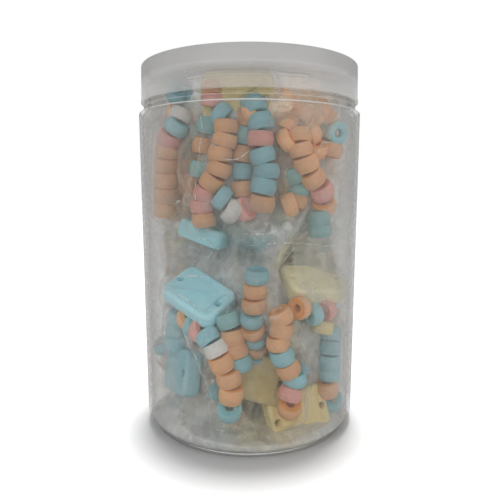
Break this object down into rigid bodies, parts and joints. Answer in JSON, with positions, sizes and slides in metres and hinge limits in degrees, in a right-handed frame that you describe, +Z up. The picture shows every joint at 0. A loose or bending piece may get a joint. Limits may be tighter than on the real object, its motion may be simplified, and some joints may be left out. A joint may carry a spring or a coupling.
{
  "type": "jar of candy watches",
  "caption": "Clear screw-top plastic jar with a sunken lid plate, filled with pastel sweet watches of strung beads and oblong faces in film.",
  "frame": {"origin": "centre of the jar's base, on the surface it stands on", "axes": "+Z up along the jar's axis, -Y towards the front shown in the picture"},
  "size_m": [0.106, 0.106, 0.1727],
  "materials": {
    "clear_plastic": "gloss",
    "frosted_plastic": "satin",
    "pressed_sweets": "matte"
  },
  "bodies": {
    "root": {"jar": "clear_plastic", "lid": "frosted_plastic", "candy_watch_heap": "pressed_sweets"}
  },
  "joints": []
}
